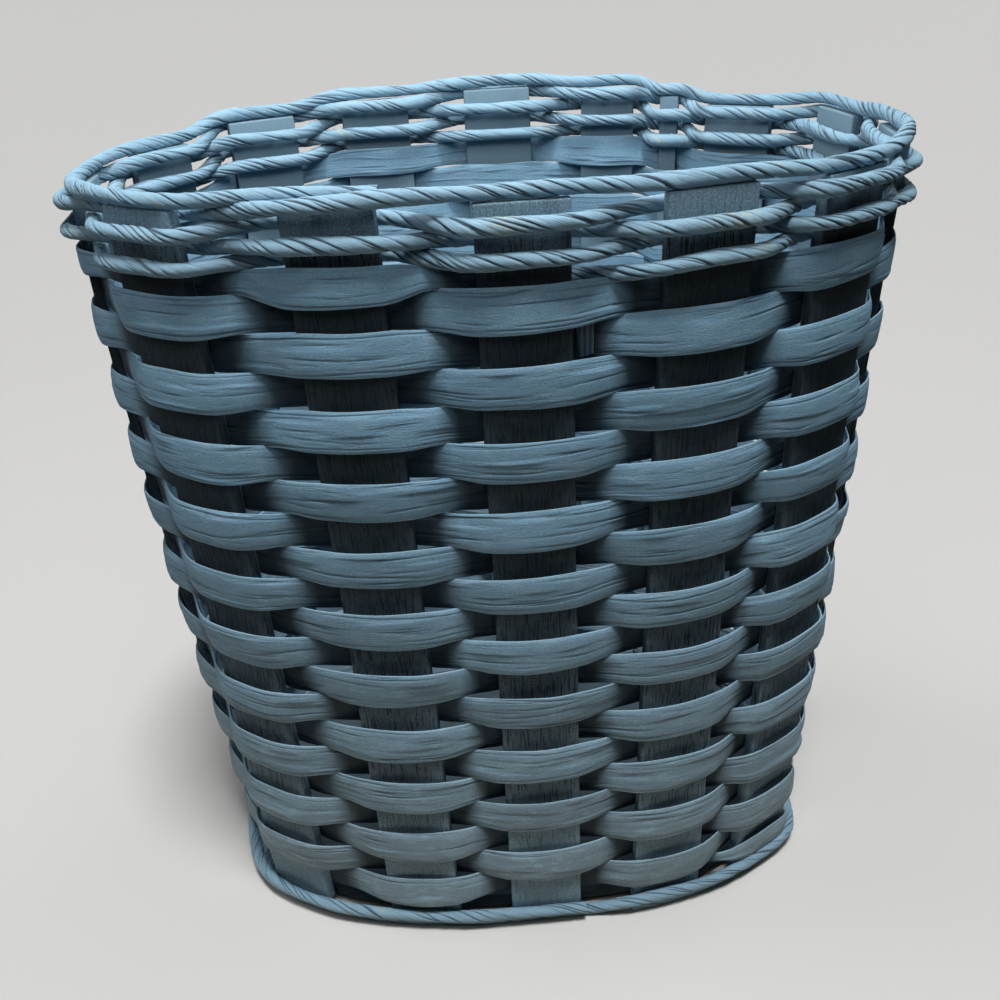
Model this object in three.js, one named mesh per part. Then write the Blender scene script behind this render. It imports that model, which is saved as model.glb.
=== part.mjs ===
// Oval wicker waste basket: flat wooden stakes stand round an oval board, one flat ribbon is woven
// round them as a single climbing spiral, and a round paper rope closes the rim and the foot.
// Millimetres, +Z up, origin on the floor under the middle of the basket, long axis along X.
import * as THREE from 'three';

// Plan of the wall, taken at the middle of the stakes' thickness
const RIM_HALF_LENGTH = 127;
const RIM_HALF_DEPTH = 86;
const RIM_SQUARENESS = 2.4;
const FOOT_HALF_LENGTH = 114;
const FOOT_HALF_DEPTH = 73;
const FOOT_SQUARENESS = 2.4;
const OUTLINE_STEPS = 720;

// The two ends are flatter than a plain oval's. Past the start of the end, the wall is drawn in by
// up to this share of the half length, or out where it is negative.
const END_START = 0.8;
const FOOT_RIGHT_FLATTENING = 0.079;
const FOOT_LEFT_FLATTENING = 0.035;
const RIM_RIGHT_FLATTENING = 0.0236;
const RIM_LEFT_FLATTENING = -0.03;

// The left end reaches further than the right. Moving the plan by this share of the rim's half
// length puts the origin under the middle of the whole basket.
const PLAN_SHIFT_SHARE = 0.0295;

// Play left between two pieces that touch in the real basket
const SEAT_GAP = 0.3;

// Stakes
const STAKE_WIDTH = 25.4;
const STAKE_THICKNESS = 4;
const STAKE_TOP = 263.5;
const STAKE_EDGE_CHAMFER = 0.5;
const OFFCUT_STAKE_WIDTH = 20;
const EXTRA_STAKE_WIDTH = 7;
const EXTRA_STAKE_THICKNESS = 3;

// Round paper rope of the rim and the foot
const ROPE_DIAMETER = 4;
const ROPE_SIDES = 6;
const ROPE_FOOT_FLAT = 0.4;
const ROPE_CLIMB_PER_TURN = 4.5;
const ROPE_CORNER_RUN = 1.4;
const ROPE_BOW = 0.4;

// Flat ribbon of the side
const RIBBON_THICKNESS = 1.2;
const RIBBON_CORNER_RUN = 0.8;
const RIBBON_BOW = 0.5;
const RIBBON_ROW_GAP = 1.1;
const RIBBON_SWELL_ON_STAKE = 0.55;
const RIBBON_LENGTHS = 7;
const SPLICE_GAP = 0.6;
const RIBBON_TAIL_SETBACK = 10;
const ROW_TIGHTENING = 0.0117;
const FIRST_ROW_CENTRE = 6.7;
const LAST_ROW_BELOW_TOP = 18.06;

// Base board
const BOARD_UNDERSIDE = 2.6;
const BOARD_THICKNESS = 6;
const BOARD_EDGE_CHAMFER = 0.6;
const BOARD_OUTLINE_POINTS = 60;

const ROPE_RADIUS = ROPE_DIAMETER / 2;
const ROPE_HALF_HEIGHT = ROPE_RADIUS * Math.cos(Math.PI / ROPE_SIDES);
const BOARD_TOP = BOARD_UNDERSIDE + BOARD_THICKNESS;

// Foot rope: the lower turn lies flat on the floor under the stakes, the upper turn rings their feet
const FOOT_ROPE_LOWER_CENTRE = ROPE_RADIUS - ROPE_FOOT_FLAT;
const FOOT_ROPE_LOWER_OFFSET = 1.7;
const FOOT_ROPE_RISE = 3.9;
const FOOT_ROPE_UPPER_CENTRE = FOOT_ROPE_LOWER_CENTRE + FOOT_ROPE_RISE;
const FOOT_ROPE_UPPER_OFFSET = STAKE_THICKNESS / 2 + SEAT_GAP + ROPE_RADIUS;
const STAKE_FOOT = FOOT_ROPE_LOWER_CENTRE + ROPE_HALF_HEIGHT + SEAT_GAP;

// Stakes counted anticlockwise from above, starting at the front left. "place" is the share of the
// way round the outline, 0 being the middle of the front. The extra stake makes the count odd,
// so that every turn of the weave passes on the other side of each stake than the turn below it.
const STAKES = [
  { name: 'stake_01', place: -0.147 },
  { name: 'stake_02', place: -0.0665 },
  { name: 'stake_03', place: 0.005 },
  { name: 'stake_04', place: 0.0775 },
  { name: 'stake_05', place: 0.1455 },
  { name: 'stake_06', place: 0.217 },
  { name: 'stake_07', place: 0.2865 },
  { name: 'stake_08', place: 0.3545 },
  { name: 'stake_extra', place: 0.3932, width: EXTRA_STAKE_WIDTH, thickness: EXTRA_STAKE_THICKNESS },
  { name: 'stake_09', place: 0.4275, width: OFFCUT_STAKE_WIDTH },
  { name: 'stake_10', place: 0.489 },
  { name: 'stake_11', place: 0.557 },
  { name: 'stake_12', place: 0.62 },
  { name: 'stake_13', place: 0.682 },
  { name: 'stake_14', place: 0.761 },
];
const COUNT = STAKES.length;

// Crossings are numbered along the weave: number = turn * COUNT + stake.
// The ribbon passes outside on even numbers, the rope on odd ones.
const RIBBON_START = 3;
const RIBBON_END = 317;
const ROPE_START = 2;
const ROPE_LAST_WOVEN = 61;
const ROPE_END = 76.4;
const ROPE_LAST_WOVEN_BELOW_TOP = 2.6;
const FOOT_ROPE_START = 2.5;
const FOOT_ROPE_RAMP_START = 17.35;
const FOOT_ROPE_RAMP_END = 17.65;
const FOOT_ROPE_END = 32.4;

// Plan outline as points with the length travelled, so places can be given as shares of the way round
function makeOutline(halfLength, halfDepth, squareness) {
  const points = [];
  let travelled = 0;
  for (let i = 0; i <= OUTLINE_STEPS; i += 1) {
    const angle = -Math.PI / 2 + (2 * Math.PI * i) / OUTLINE_STEPS;
    const c = Math.cos(angle);
    const s = Math.sin(angle);
    const x = halfLength * Math.sign(c) * Math.abs(c) ** (2 / squareness);
    const y = halfDepth * Math.sign(s) * Math.abs(s) ** (2 / squareness);
    if (i > 0) travelled += Math.hypot(x - points[i - 1].x, y - points[i - 1].y);
    points.push({ x, y, travelled });
  }
  return points;
}

function pointOnOutline(outline, place) {
  const total = outline[OUTLINE_STEPS].travelled;
  const target = (place - Math.floor(place)) * total;
  let low = 0;
  let high = OUTLINE_STEPS;
  while (high - low > 1) {
    const middle = (low + high) >> 1;
    if (outline[middle].travelled <= target) low = middle;
    else high = middle;
  }
  const a = outline[low];
  const b = outline[high];
  const t = (target - a.travelled) / Math.max(b.travelled - a.travelled, 1e-9);
  return new THREE.Vector2(a.x + (b.x - a.x) * t, a.y + (b.y - a.y) * t);
}

const footOutline = makeOutline(FOOT_HALF_LENGTH, FOOT_HALF_DEPTH, FOOT_SQUARENESS);
const rimOutline = makeOutline(RIM_HALF_LENGTH, RIM_HALF_DEPTH, RIM_SQUARENESS);

function flattenEnd(point, halfLength, rightShare, leftShare) {
  const past = Math.max(0, Math.abs(point.x) / halfLength - END_START) / (1 - END_START);
  const share = point.x > 0 ? rightShare : leftShare;
  point.x -= Math.sign(point.x) * share * halfLength * past ** 2;
  return point;
}

// Middle line of the wall at a place and a height
function wallPoint(place, z) {
  const low = pointOnOutline(footOutline, place);
  const high = pointOnOutline(rimOutline, place);
  flattenEnd(low, FOOT_HALF_LENGTH, FOOT_RIGHT_FLATTENING, FOOT_LEFT_FLATTENING);
  flattenEnd(high, RIM_HALF_LENGTH, RIM_RIGHT_FLATTENING, RIM_LEFT_FLATTENING);
  const share = (z - FOOT_ROPE_UPPER_CENTRE) / (STAKE_TOP - FOOT_ROPE_UPPER_CENTRE);
  low.lerp(high, share);
  low.x += PLAN_SHIFT_SHARE * RIM_HALF_LENGTH;
  return low;
}

// Each stake keeps one direction along the wall from foot to top, so it stays a flat slat.
// "lean" is how far it moves outwards for each millimetre it climbs.
for (const stake of STAKES) {
  const step = 0.004;
  const along = new THREE.Vector2();
  for (const z of [STAKE_FOOT, STAKE_TOP]) {
    along.add(wallPoint(stake.place + step, z).sub(wallPoint(stake.place - step, z)).normalize());
  }
  along.normalize();
  stake.along = along;
  stake.outward = new THREE.Vector2(along.y, -along.x);
  const drift = wallPoint(stake.place, STAKE_TOP).sub(wallPoint(stake.place, STAKE_FOOT));
  drift.divideScalar(STAKE_TOP - STAKE_FOOT);
  stake.lean = new THREE.Vector3(drift.x, drift.y, 1);
  stake.width = stake.width ?? STAKE_WIDTH;
  stake.thickness = stake.thickness ?? STAKE_THICKNESS;
}

function stakeAt(crossing) {
  return STAKES[((crossing % COUNT) + COUNT) % COUNT];
}

// Point given in a stake's own directions
function besideStake(stake, z, alongShift, outwardShift) {
  const p = wallPoint(stake.place, z);
  p.addScaledVector(stake.along, alongShift).addScaledVector(stake.outward, outwardShift);
  return new THREE.Vector3(p.x, p.y, z);
}

// Share of the way from one stake to the next taken by the stretch that lies against the stake
function reach(crossing, direction, run) {
  const here = stakeAt(crossing);
  const there = stakeAt(crossing + direction);
  let distance = direction * (there.place - here.place);
  if (distance < 0) distance += 1;
  const middle = (STAKE_FOOT + STAKE_TOP) / 2;
  const length = wallPoint(here.place, middle).distanceTo(wallPoint(there.place, middle));
  return (here.width / 2 + run) / Math.max(length, 1e-6);
}

// Heights of the rows at any crossing number. Each turn climbs a little less than the one below it.
const RIBBON_TURNS = (RIBBON_END - RIBBON_START) / COUNT;
const ROWS_HEIGHT = STAKE_TOP - LAST_ROW_BELOW_TOP - FIRST_ROW_CENTRE;
const ROW_CLIMB = ROWS_HEIGHT / RIBBON_TURNS + ROW_TIGHTENING * RIBBON_TURNS;

function rowCentre(number) {
  const turns = (number - RIBBON_START) / COUNT;
  return FIRST_ROW_CENTRE + ROW_CLIMB * turns - ROW_TIGHTENING * turns * turns;
}

function ropeHeight(number) {
  const lastHeight = STAKE_TOP - ROPE_LAST_WOVEN_BELOW_TOP;
  return lastHeight - (ROPE_CLIMB_PER_TURN * (ROPE_LAST_WOVEN - number)) / COUNT;
}

// Line between one row and the row under it. The first turn grows out of the board's top
// and the last turn runs out under the rim rope.
function rowBoundary(number) {
  const regular = (n) => (rowCentre(n) + rowCentre(n - COUNT)) / 2;
  const second = RIBBON_START + COUNT;
  if (number < second) {
    const start = BOARD_TOP + SEAT_GAP + RIBBON_SWELL_ON_STAKE - RIBBON_ROW_GAP / 2;
    const share = (number - RIBBON_START) / COUNT;
    return start + (regular(second) - start) * share;
  }
  if (number > RIBBON_END) {
    const ropeUnderside = ropeHeight(number - RIBBON_END + ROPE_START) - ROPE_HALF_HEIGHT;
    return Math.min(regular(number), ropeUnderside - SEAT_GAP + RIBBON_ROW_GAP / 2);
  }
  return regular(number);
}

function ribbonBand(number) {
  const low = rowBoundary(number) + RIBBON_ROW_GAP / 2;
  const high = rowBoundary(number + COUNT) - RIBBON_ROW_GAP / 2;
  return { centre: (low + high) / 2, half: (high - low) / 2 };
}

// Route of a strand that passes in front of and behind the stakes in turn.
// side(number) is +1 outside and -1 inside, height(number) gives the strand's centre.
function wovenRoute(options) {
  const { from, to, side, height, halfThickness, run, bow } = options;
  const route = [];
  const place = (crossing, shift, share, extra) => {
    const number = crossing + share;
    const stake = stakeAt(crossing);
    const outwardShift = side(crossing) * (stake.thickness / 2 + SEAT_GAP + halfThickness + extra);
    const point = besideStake(stake, height(number), shift, outwardShift);
    route.push({ number, point, crossing, lean: stake.lean, onStake: true });
  };
  for (let crossing = Math.ceil(from); crossing <= Math.floor(to); crossing += 1) {
    const stake = stakeAt(crossing);
    const half = stake.width / 2 + run;
    if (crossing > from) {
      place(crossing, -half, -reach(crossing, -1, run), 0);
    }
    if (stake.width > STAKE_WIDTH / 2) {
      place(crossing, 0, 0, bow);
    }
    if (crossing < to) {
      place(crossing, half, reach(crossing, 1, run), 0);
    }
  }
  // halfway between two stakes the strand is on the wall's middle line
  const full = [];
  route.forEach((item, i) => {
    full.push(item);
    const next = route[i + 1];
    if (next && next.crossing !== item.crossing) {
      const number = (item.number + next.number) / 2;
      const point = item.point.clone().lerp(next.point, 0.5);
      point.z = height(number);
      const lean = item.lean.clone().lerp(next.lean, 0.5);
      full.push({ number, point, lean, onStake: false });
    }
  });
  return full;
}

// Closed body swept along a route. section(i) lists points as {out, up}: out is measured level and
// square to the route, up is measured along the wall's lean there.
function sweep(route, section) {
  const positions = [];
  const indices = [];
  const sides = section(0).length;
  const up = new THREE.Vector3(0, 0, 1);
  route.forEach((item, i) => {
    const before = route[Math.max(i - 1, 0)].point;
    const after = route[Math.min(i + 1, route.length - 1)].point;
    const into = item.point.clone().sub(before).setZ(0);
    const away = after.clone().sub(item.point).setZ(0);
    if (i === 0) into.copy(away);
    if (i === route.length - 1) away.copy(into);
    into.normalize();
    away.normalize();
    const along = into.clone().add(away).normalize();
    const mitre = 1 / Math.max(along.dot(into), 0.5);
    const out = along.clone().cross(up).normalize();
    for (const corner of section(i)) {
      const p = item.point.clone().addScaledVector(out, corner.out * mitre);
      p.addScaledVector(item.lean ?? up, corner.up);
      positions.push(p.x, p.y, p.z);
    }
  });
  for (let i = 0; i + 1 < route.length; i += 1) {
    for (let k = 0; k < sides; k += 1) {
      const a = i * sides + k;
      const b = i * sides + ((k + 1) % sides);
      const c = a + sides;
      const d = b + sides;
      indices.push(a, c, b, b, c, d);
    }
  }
  const last = (route.length - 1) * sides;
  for (let k = 1; k + 1 < sides; k += 1) {
    indices.push(0, k, k + 1);
    indices.push(last, last + k + 1, last + k);
  }
  const geometry = new THREE.BufferGeometry();
  geometry.setAttribute('position', new THREE.Float32BufferAttribute(positions, 3));
  geometry.setIndex(indices);
  geometry.computeVertexNormals();
  return geometry;
}

function ropeSection(flat) {
  const corners = [];
  for (let k = 0; k < ROPE_SIDES; k += 1) {
    const angle = (2 * Math.PI * k) / ROPE_SIDES;
    let out = ROPE_RADIUS * Math.cos(angle);
    let height = ROPE_RADIUS * Math.sin(angle);
    const floor = -(ROPE_RADIUS - flat);
    if (flat > 0 && height < floor) {
      const slope = 1 / Math.tan((2 * Math.PI) / ROPE_SIDES);
      out += Math.sign(out) * (floor - height) * slope;
      height = floor;
    }
    corners.push({ out, up: height });
  }
  return corners;
}

// Least gap between turns of the same strand: distance between stretches of its middle line
// that are more than half a turn apart, less what the section takes
function leastGap(route, distance) {
  let least = Infinity;
  const samples = [];
  for (let i = 0; i + 1 < route.length; i += 1) {
    for (const t of [0, 0.25, 0.5, 0.75]) {
      samples.push({
        number: route[i].number + (route[i + 1].number - route[i].number) * t,
        point: route[i].point.clone().lerp(route[i + 1].point, t),
        up: route[i].up ? route[i].up + (route[i + 1].up - route[i].up) * t : 0,
      });
    }
  }
  for (let i = 0; i < samples.length; i += 1) {
    for (let j = i + 1; j < samples.length; j += 1) {
      const apart = samples[j].number - samples[i].number;
      if (apart < COUNT / 2 || apart > COUNT * 2.5) continue;
      least = Math.min(least, distance(samples[i], samples[j]));
    }
  }
  return least;
}

const basket = new THREE.Group();
basket.name = 'wicker_waste_basket';

function addPiece(name, geometry, colour, roughness) {
  const material = new THREE.MeshStandardMaterial({ color: colour, roughness, metalness: 0 });
  const mesh = new THREE.Mesh(geometry, material);
  mesh.name = name;
  basket.add(mesh);
}

const PAINTED_WOOD = '#5f788a';
const PAINTED_RIBBON = '#708b9e';
const PAINTED_ROPE = '#8aa6bb';
const WOOD_ROUGHNESS = 0.72;
const PAPER_ROUGHNESS = 0.62;

// Rings of matching points joined into one closed body, with flat ends
function stack(rings) {
  const count = rings[0].length;
  const positions = rings.flat().flatMap((p) => [p.x, p.y, p.z]);
  const indices = [];
  for (let i = 0; i + 1 < rings.length; i += 1) {
    for (let k = 0; k < count; k += 1) {
      const a = i * count + k;
      const b = i * count + ((k + 1) % count);
      indices.push(a, b, a + count, b, b + count, a + count);
    }
  }
  const last = (rings.length - 1) * count;
  for (let k = 1; k + 1 < count; k += 1) {
    indices.push(0, k + 1, k);
    indices.push(last, last + k, last + k + 1);
  }
  const geometry = new THREE.BufferGeometry();
  geometry.setAttribute('position', new THREE.Float32BufferAttribute(positions, 3));
  geometry.setIndex(indices);
  geometry.computeVertexNormals();
  return geometry;
}

// Board, held by the stakes that stand round its edge
function boardRing(z, inset) {
  const ring = [];
  const edge = STAKE_THICKNESS / 2 + SEAT_GAP + inset;
  for (let i = 0; i < BOARD_OUTLINE_POINTS; i += 1) {
    const place = i / BOARD_OUTLINE_POINTS;
    const step = 0.002;
    const along = wallPoint(place + step, STAKE_FOOT).sub(wallPoint(place - step, STAKE_FOOT)).normalize();
    const p = wallPoint(place, STAKE_FOOT);
    ring.push(new THREE.Vector3(p.x - along.y * edge, p.y + along.x * edge, z));
  }
  return ring;
}

addPiece('base_board', stack([
  boardRing(BOARD_UNDERSIDE, BOARD_EDGE_CHAMFER),
  boardRing(BOARD_UNDERSIDE + BOARD_EDGE_CHAMFER, 0),
  boardRing(BOARD_TOP - BOARD_EDGE_CHAMFER, 0),
  boardRing(BOARD_TOP, BOARD_EDGE_CHAMFER),
]), PAINTED_WOOD, WOOD_ROUGHNESS);

// Stakes, with the long edges taken off and the top end eased
function stakeRing(stake, z, inset) {
  const halfWidth = stake.width / 2 - inset;
  const halfThickness = stake.thickness / 2 - inset;
  const c = STAKE_EDGE_CHAMFER;
  const corners = [
    [-halfWidth, halfThickness - c], [-halfWidth, -halfThickness + c],
    [-halfWidth + c, -halfThickness], [halfWidth - c, -halfThickness],
    [halfWidth, -halfThickness + c], [halfWidth, halfThickness - c],
    [halfWidth - c, halfThickness], [-halfWidth + c, halfThickness],
  ];
  return corners.map(([across, out]) => besideStake(stake, z, across, out)).reverse();
}

for (const stake of STAKES) {
  addPiece(stake.name, stack([
    stakeRing(stake, STAKE_FOOT, 0),
    stakeRing(stake, STAKE_TOP - STAKE_EDGE_CHAMFER, 0),
    stakeRing(stake, STAKE_TOP, STAKE_EDGE_CHAMFER),
  ]), PAINTED_WOOD, WOOD_ROUGHNESS);
}

// Side ribbon: one spiral, made of several lengths whose ends meet behind a stake
const ribbonSide = (number) => (number % 2 === 0 ? 1 : -1);
const ribbonRoute = wovenRoute({
  from: RIBBON_START,
  to: RIBBON_END,
  side: ribbonSide,
  height: (number) => ribbonBand(number).centre,
  halfThickness: RIBBON_THICKNESS / 2,
  run: RIBBON_CORNER_RUN,
  bow: RIBBON_BOW,
});
const ribbonHalf = (item) => ribbonBand(item.number).half + (item.onStake ? RIBBON_SWELL_ON_STAKE : 0);

function ribbonLength(name, from, to, setback) {
  const route = ribbonRoute.filter((item) => item.number >= from - 1e-6 && item.number <= to + 1e-6);
  const first = route[0];
  const second = route[1];
  const beforeLast = route[route.length - 2];
  const last = route[route.length - 1];
  const start = second.point.clone().sub(first.point).setLength(SPLICE_GAP / 2).add(first.point);
  const end = beforeLast.point.clone().sub(last.point).setLength(setback).add(last.point);
  route[0] = { ...first, point: start };
  route[route.length - 1] = { ...last, point: end };
  const section = (i) => {
    const half = Math.max(ribbonHalf(route[i]), RIBBON_THICKNESS);
    const t = RIBBON_THICKNESS / 2;
    return [
      { out: t, up: -half },
      { out: t, up: half },
      { out: -t, up: half },
      { out: -t, up: -half },
    ];
  };
  addPiece(name, sweep(route, section), PAINTED_RIBBON, PAPER_ROUGHNESS);
}

let lengthStart = RIBBON_START;
for (let i = 1; i <= RIBBON_LENGTHS; i += 1) {
  const share = (RIBBON_END - RIBBON_START) / 2 / RIBBON_LENGTHS;
  const lengthEnd = RIBBON_START + 2 * Math.round(share * i);
  const setback = i === RIBBON_LENGTHS ? RIBBON_TAIL_SETBACK : SPLICE_GAP / 2;
  ribbonLength(`side_ribbon_${i}`, lengthStart, lengthEnd, setback);
  lengthStart = lengthEnd;
}

// Rim rope: woven for four turns, then it climbs over the stakes' tops and lies on them for a turn
const overTop = STAKE_TOP + SEAT_GAP + ROPE_HALF_HEIGHT;
const rimRoute = wovenRoute({
  from: ROPE_START,
  to: ROPE_LAST_WOVEN,
  side: (number) => (number % 2 === 0 ? -1 : 1),
  height: ropeHeight,
  halfThickness: ROPE_RADIUS,
  run: ROPE_CORNER_RUN,
  bow: ROPE_BOW,
});
const lastStake = stakeAt(ROPE_LAST_WOVEN);
const leaveShift = lastStake.width / 2 + ROPE_CORNER_RUN;
const woundOffset = STAKE_THICKNESS / 2 + SEAT_GAP + ROPE_RADIUS;
const leaveNumber = ROPE_LAST_WOVEN + reach(ROPE_LAST_WOVEN, 1, ROPE_CORNER_RUN);
const leavePoint = besideStake(lastStake, ropeHeight(leaveNumber), leaveShift, woundOffset);
rimRoute.push({ number: leaveNumber, point: leavePoint });
for (let crossing = ROPE_LAST_WOVEN + 1; crossing <= Math.floor(ROPE_END); crossing += 1) {
  const stake = stakeAt(crossing);
  for (const direction of [-1, 1]) {
    const number = crossing + direction * reach(crossing, direction, ROPE_CORNER_RUN);
    if (number > ROPE_END) continue;
    const shift = direction * (stake.width / 2 + ROPE_CORNER_RUN);
    rimRoute.push({ number, point: besideStake(stake, overTop, shift, 0) });
  }
}
const ropeFacets = ropeSection(0);
addPiece('rim_rope', sweep(rimRoute, () => ropeFacets), PAINTED_ROPE, PAPER_ROUGHNESS);

// Foot rope: one flat turn under the stakes, a short ramp, and one turn round their feet
function footRopePoint(number, stake, shift) {
  const ramp = (number - FOOT_ROPE_RAMP_START) / (FOOT_ROPE_RAMP_END - FOOT_ROPE_RAMP_START);
  const share = Math.min(Math.max(ramp, 0), 1);
  const z = FOOT_ROPE_LOWER_CENTRE + FOOT_ROPE_RISE * share;
  const out = FOOT_ROPE_LOWER_OFFSET + (FOOT_ROPE_UPPER_OFFSET - FOOT_ROPE_LOWER_OFFSET) * share;
  return besideStake(stake, z, shift, out);
}
const footRoute = [];
for (let crossing = Math.floor(FOOT_ROPE_START); crossing <= Math.ceil(FOOT_ROPE_END); crossing += 1) {
  const stake = stakeAt(crossing);
  for (const direction of [-1, 1]) {
    const number = crossing + direction * reach(crossing, direction, ROPE_CORNER_RUN);
    if (number < FOOT_ROPE_START || number > FOOT_ROPE_END) continue;
    const shift = direction * (stake.width / 2 + ROPE_CORNER_RUN);
    footRoute.push({ number, point: footRopePoint(number, stake, shift) });
  }
}
const footFacets = ropeSection(ROPE_FOOT_FLAT);
addPiece('base_rope', sweep(footRoute, () => footFacets), PAINTED_ROPE, PAPER_ROUGHNESS);

// Measured gaps of the wound strands to themselves
const roundGap = (a, b) => a.point.distanceTo(b.point) - ROPE_DIAMETER;
const ribbonGap = (a, b) => {
  const level = Math.hypot(a.point.x - b.point.x, a.point.y - b.point.y) - RIBBON_THICKNESS;
  const rise = Math.abs(a.point.z - b.point.z) - a.up - b.up;
  return Math.max(level, rise);
};
ribbonRoute.forEach((item) => { item.up = ribbonHalf(item); });
console.log(`rim rope, least gap to itself ${leastGap(rimRoute, roundGap).toFixed(2)} mm`);
console.log(`foot rope, least gap to itself ${leastGap(footRoute, roundGap).toFixed(2)} mm`);
console.log(`side ribbon, least gap to itself ${leastGap(ribbonRoute, ribbonGap).toFixed(2)} mm`);

export default basket;
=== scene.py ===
"""Oval woven waste basket, dressed for looks round its measured frame.

Flat painted stakes stand round an oval board. A creased paper ribbon spirals up them, over one and
under the next, and a twisted paper rope closes the rim and the foot. Metres, +Z up.
"""
import math

import bpy
import numpy as np
from mathutils import Matrix, Vector


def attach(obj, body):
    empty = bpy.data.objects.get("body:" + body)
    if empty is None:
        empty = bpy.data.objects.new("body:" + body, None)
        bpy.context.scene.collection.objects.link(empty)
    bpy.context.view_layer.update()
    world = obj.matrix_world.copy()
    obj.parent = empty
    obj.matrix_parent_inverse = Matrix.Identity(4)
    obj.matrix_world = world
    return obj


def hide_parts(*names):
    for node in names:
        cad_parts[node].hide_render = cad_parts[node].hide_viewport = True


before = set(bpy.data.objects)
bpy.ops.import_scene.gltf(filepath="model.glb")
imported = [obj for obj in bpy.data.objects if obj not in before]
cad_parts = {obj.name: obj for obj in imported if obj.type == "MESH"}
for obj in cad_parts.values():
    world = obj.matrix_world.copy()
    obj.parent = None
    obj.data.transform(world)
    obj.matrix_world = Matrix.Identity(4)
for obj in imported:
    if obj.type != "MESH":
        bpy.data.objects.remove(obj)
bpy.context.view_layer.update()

bl_info = {
    "name": "Woven waste basket",
    "version": (1, 0, 0),
    "blender": (4, 5, 0),
    "location": "3D View > Sidebar > Basket",
    "description": "Builds a painted woven waste basket piece by piece, with its stage",
    "category": "Add Mesh",
}

MM = 0.001

# Width and thickness of a full slat
SLAT = (0.0254, 0.004)

# Where each stake stands, as a share of the way round from the middle of the front, anticlockwise
# from above, with its width and thickness
STAKES = [
    ("stake_01", -0.147, *SLAT), ("stake_02", -0.0665, *SLAT), ("stake_03", 0.005, *SLAT),
    ("stake_04", 0.0775, *SLAT), ("stake_05", 0.1455, *SLAT), ("stake_06", 0.217, *SLAT),
    ("stake_07", 0.2865, *SLAT), ("stake_08", 0.3545, *SLAT), ("stake_extra", 0.3932, 0.007, 0.003),
    ("stake_09", 0.4275, 0.020, 0.004), ("stake_10", 0.489, *SLAT), ("stake_11", 0.557, *SLAT),
    ("stake_12", 0.62, *SLAT), ("stake_13", 0.682, *SLAT), ("stake_14", 0.761, *SLAT),
]
COUNT = len(STAKES)

# Crossings are numbered along the weave: number = turn * COUNT + stake. The ribbon is outside on
# even numbers and the woven rope on odd ones.
RIBBON_START, RIBBON_END = 3, 317
RIBBON_LENGTHS = 7
ROPE_START, ROPE_LAST_WOVEN, ROPE_END = 2, 61, 76.4
FOOT_ROPE_START, FOOT_ROPE_STEP_UP, FOOT_ROPE_END = 2.5, 17.35, 32.4

# How far past a stake's edges a strand still lies along it
RIBBON_RUN, ROPE_RUN = 0.0006, 0.0014

# How far the woven rope stands off the middle of a stake
ROPE_BOW = 0.0006

# Narrower stakes than this leave the strands straight
BOWING_WIDTH = 0.015

# Height of the ribbon's first crossing, and how its climb lessens with the square of the turns
FIRST_ROW = 0.0067
ROW_CLOSING = 0.0000117

# How far the last woven crossing of the rope is under the stakes' upper ends
ROPE_BELOW_TOP = 0.0026

# Where the paint is rubbed off the rope: crossing, and reach in crossings
ROPE_RUBBED = [(33.12, 0.17), (3.3, 0.08), (46.9, 0.08)]

# Heights of the stakes' lower ends, of the start of the wall and of the board, fixed by the frame
STAKE_FOOT = 0.00363
WALL_FOOT = 0.0055
BOARD_BOTTOM, BOARD_TOP = 0.0026, 0.0086

# The ends are flatter than a plain oval's. Past the start of the end, the wall is drawn in by up to
# this share of the half length, on the right and on the left, or out where it is negative.
END_START = 0.8
FOOT_FLATTENING = (0.079, 0.035)
RIM_FLATTENING = (0.0236, -0.03)

# Share of the rim's half length by which the plan moves, so that the origin is under its middle
PLAN_SHIFT_SHARE = 0.0295

# The uneven rim, at places along the way round, in millimetres: how far the wall rises, how much
# further the woven strands are pushed up the stakes, and how far the wall is pushed outwards.
RIM_SHAPE = np.array([
    (-0.25, -3.4, 0.2, -3.6), (-0.2, -3, 0.8, -2.4), (-0.147, -0.6, 1.4, 0),
    (-0.1, 0.8, 1.8, 0), (-0.0665, 1.5, 2.2, 0), (-0.03, 0.6, 2, 0),
    (0.005, 0, 1.6, 0), (0.0775, -0.6, 2.6, 0), (0.13, -2.3, 3.4, 0),
    (0.19, -1.2, 3.8, 0.6), (0.25, 1.6, 3.8, 2), (0.29, -1.6, 3.4, 0.8), (0.33, -3, 3.2, 0),
    (0.36, -3.5, 3.3, 0), (0.385, -2, 3.6, 0), (0.405, 2, 3.6, 0), (0.43, 3.2, 3.6, 0),
    (0.46, 4.8, 3.2, 0), (0.5, 5, 2.8, 0), (0.53, 4.4, 2.8, 0), (0.56, 3.6, 2.8, 0),
    (0.59, 2.7, 2.8, 0), (0.62, 0.8, 2.8, 0), (0.65, -1.3, 2.4, -0.5), (0.68, -3.2, 1.8, -1.5),
    (0.71, -3.2, 1, -2.8), (0.75, -3.4, 0.2, -3.6),
]).T

# How far the wall is drawn in at the foot, at places along the way round, in millimetres
FOOT_DRAWN_IN = np.array([
    (-0.25, 3.6), (-0.215, 3.4), (-0.175, 0.8), (-0.12, 0), (0.1, 0), (0.14, 1.5),
    (0.18, 4), (0.22, 4.6), (0.27, 3), (0.33, 0.5), (0.65, 0), (0.71, 2), (0.75, 3.6),
]).T

# How far painted shade is left off the outside of a slat, 1 for none, by height from its foot up
# and, in the last two, from its top down
SLAT_UNSHADED = [(0, 1), (0.03, 0.95), (0.08, 0.55), (0.16, 0.12)]
SLAT_UNSHADED_TOP = [(0.017, 0), (0.009, 1)]

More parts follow.
